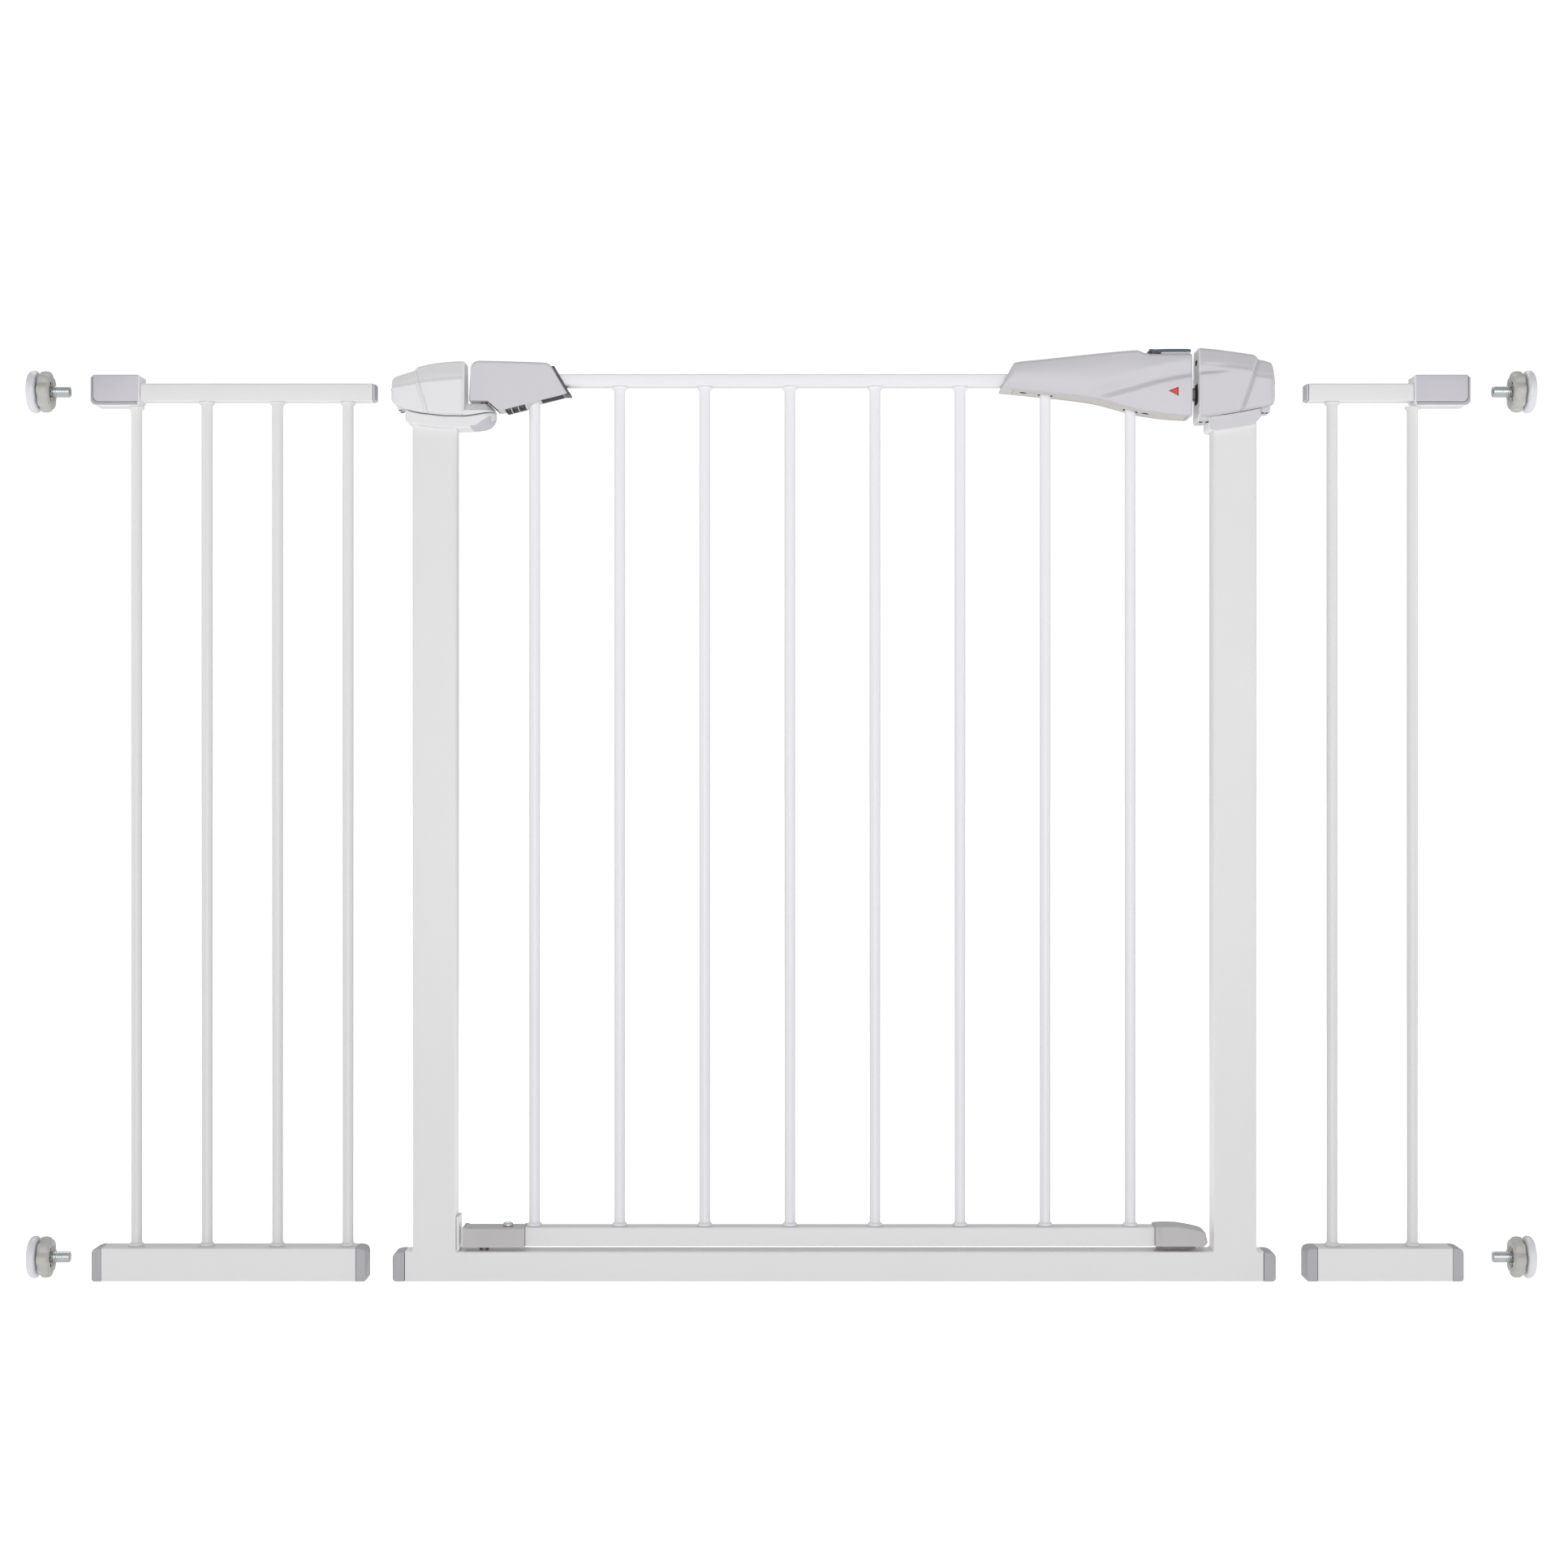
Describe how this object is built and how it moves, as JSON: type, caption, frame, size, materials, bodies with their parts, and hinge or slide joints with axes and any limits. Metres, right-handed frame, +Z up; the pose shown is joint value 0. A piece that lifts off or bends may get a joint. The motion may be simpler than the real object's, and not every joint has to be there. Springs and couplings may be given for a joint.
{
  "type": "safety gate kit",
  "caption": "Pressure-fitted barred safety gate in white steel with grey housings, laid out with its two extension panels and the screw-in wall pads beside it.",
  "frame": {"origin": "centre of the kit's footprint, on the floor under the bottom tube", "axes": "+X along the gate from the hinge side to the latch side, -Y the front, +Z up"},
  "size_m": [1.2555, 0.038, 0.7757],
  "materials": {
    "white_steel": "gloss white powder coat",
    "grey_abs": "pale grey moulded plastic",
    "cap_grey": "grey moulded plastic",
    "shoe_grey": "grey moulded plastic",
    "slider_grey": "blue-grey moulded plastic",
    "zinc": "zinc-plated steel",
    "marker_red": "red moulded plastic",
    "wheel_grey": "grey moulded plastic",
    "pad_rubber": "translucent pale rubber"
  },
  "bodies": {
    "frame": {"u_frame": "white_steel", "threshold_cap_left": "cap_grey", "threshold_cap_right": "cap_grey", "threshold_stop": "white_steel", "hinge_bracket": "grey_abs", "hinge_cover": "grey_abs", "latch_bracket": "grey_abs", "latch_cover": "grey_abs"},
    "pivots": {"upper_pivot_pin": "zinc", "lower_pivot_pin": "zinc"},
    "door": {"door_top_rail": "white_steel", "door_bottom_rail": "white_steel", "door_bar_1": "white_steel", "door_bar_2": "white_steel", "door_bar_3": "white_steel", "door_bar_4": "white_steel", "door_bar_5": "white_steel", "door_bar_6": "white_steel", "door_bar_7": "white_steel", "door_bar_8": "white_steel", "door_hinge_cover": "grey_abs", "lower_hinge_shoe": "shoe_grey", "shoe_bolt": "zinc", "handle_cover": "grey_abs", "handle_base": "grey_abs", "arrow_marker": "marker_red", "bottom_catch": "shoe_grey", "catch_plate": "zinc"},
    "latch": {"thumb_slider": "slider_grey", "latch_bolt": "zinc"},
    "left_extension": {"left_extension_top_rail": "white_steel", "left_extension_bottom_rail": "white_steel", "left_extension_socket": "grey_abs", "left_extension_top_plug": "cap_grey", "left_extension_outer_cap": "cap_grey", "left_extension_inner_cap": "cap_grey", "left_extension_bar_1": "white_steel", "left_extension_bar_2": "white_steel", "left_extension_bar_3": "white_steel", "left_extension_bar_4": "white_steel"},
    "right_extension": {"right_extension_top_rail": "white_steel", "right_extension_bottom_rail": "white_steel", "right_extension_socket": "grey_abs", "right_extension_top_plug": "cap_grey", "right_extension_outer_cap": "cap_grey", "right_extension_inner_cap": "cap_grey", "right_extension_bar_1": "white_steel", "right_extension_bar_2": "white_steel"},
    "left_upper_spindle": {"left_upper_spindle_bolt": "zinc", "left_upper_spindle_pad": "pad_rubber"},
    "left_upper_wheel": {"left_upper_spindle_wheel": "wheel_grey"},
    "left_lower_spindle": {"left_lower_spindle_bolt": "zinc", "left_lower_spindle_pad": "pad_rubber"},
    "left_lower_wheel": {"left_lower_spindle_wheel": "wheel_grey"},
    "right_upper_spindle": {"right_upper_spindle_bolt": "zinc", "right_upper_spindle_pad": "pad_rubber"},
    "right_upper_wheel": {"right_upper_spindle_wheel": "wheel_grey"},
    "right_lower_spindle": {"right_lower_spindle_bolt": "zinc", "right_lower_spindle_pad": "pad_rubber"},
    "right_lower_wheel": {"right_lower_spindle_wheel": "wheel_grey"}
  },
  "joints": [
    {"name": "door_lift", "type": "slide", "parent": "frame", "child": "pivots", "axis": [0, 0, 1], "range_m": [0, 0.008]},
    {"name": "door_swing", "type": "hinge", "parent": "pivots", "child": "door", "pos_m": [-0.2505, 0, 0.39], "axis": [0, 0, 1], "range_deg": [-90, 90]},
    {"name": "latch_slide", "type": "slide", "parent": "door", "child": "latch", "axis": [-1, 0, 0], "range_m": [-0.006, 0.008], "stiffness_N_per_m": 150},
    {"name": "left_extension_slide", "type": "slide", "parent": "frame", "child": "left_extension", "axis": [1, 0, 0], "range_m": [0, 0.0208]},
    {"name": "right_extension_slide", "type": "slide", "parent": "frame", "child": "right_extension", "axis": [-1, 0, 0], "range_m": [0, 0.024]},
    {"name": "left_upper_spindle_slide", "type": "slide", "parent": "left_extension", "child": "left_upper_spindle", "axis": [1, 0, 0], "range_m": [0, 0.0328]},
    {"name": "left_upper_wheel_spin", "type": "hinge", "parent": "left_upper_spindle", "child": "left_upper_wheel", "pos_m": [-0.6165, 0, 0.7415], "axis": [1, 0, 0], "continuous": true},
    {"name": "left_lower_spindle_slide", "type": "slide", "parent": "left_extension", "child": "left_lower_spindle", "axis": [1, 0, 0], "range_m": [0, 0.0328]},
    {"name": "left_lower_wheel_spin", "type": "hinge", "parent": "left_lower_spindle", "child": "left_lower_wheel", "pos_m": [-0.6165, 0, 0.0185], "axis": [1, 0, 0], "continuous": true},
    {"name": "right_upper_spindle_slide", "type": "slide", "parent": "right_extension", "child": "right_upper_spindle", "axis": [-1, 0, 0], "range_m": [0, 0.0344]},
    {"name": "right_upper_wheel_spin", "type": "hinge", "parent": "right_upper_spindle", "child": "right_upper_wheel", "pos_m": [0.6122, 0, 0.7415], "axis": [1, 0, 0], "continuous": true},
    {"name": "right_lower_spindle_slide", "type": "slide", "parent": "right_extension", "child": "right_lower_spindle", "axis": [-1, 0, 0], "range_m": [0, 0.0344]},
    {"name": "right_lower_wheel_spin", "type": "hinge", "parent": "right_lower_spindle", "child": "right_lower_wheel", "pos_m": [0.6122, 0, 0.0185], "axis": [1, 0, 0], "continuous": true}
  ]
}
